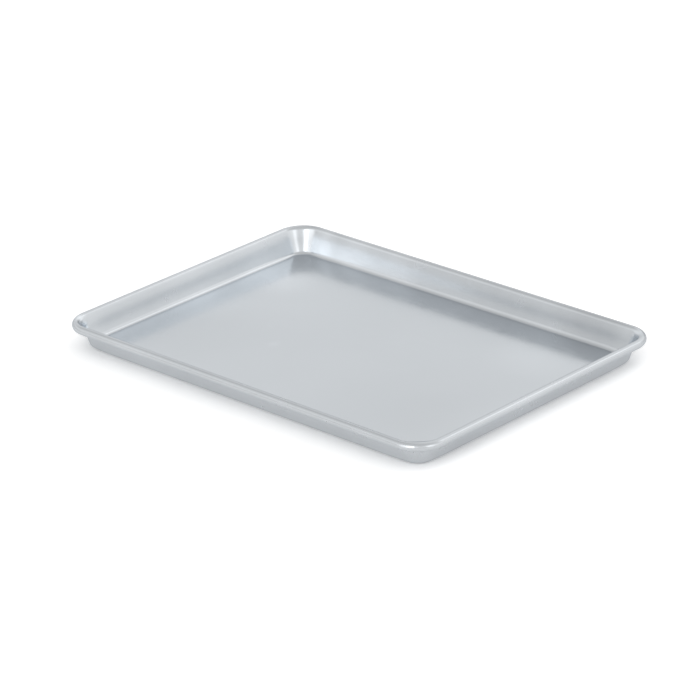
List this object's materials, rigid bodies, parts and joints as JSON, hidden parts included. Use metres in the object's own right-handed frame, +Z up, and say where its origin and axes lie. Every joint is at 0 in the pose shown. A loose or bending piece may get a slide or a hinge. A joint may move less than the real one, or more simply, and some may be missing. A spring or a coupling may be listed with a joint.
{
  "type": "jelly roll pan",
  "caption": "Shallow oblong aluminium baking tray with flared walls, rounded corners and a rim curled into a bead round a steel wire.",
  "frame": {"origin": "middle of the underside, on the surface that the pan rests on", "axes": "+X along the long side, +Y along the short side, +Z up out of the tray"},
  "size_m": [0.455, 0.33, 0.0264],
  "materials": {
    "pan_aluminium": "bright mill-finish sheet, satin from use",
    "wire_steel": "plain galvanised wire"
  },
  "bodies": {
    "root": {"pan_shell": "pan_aluminium", "rim_wire": "wire_steel"}
  },
  "joints": []
}
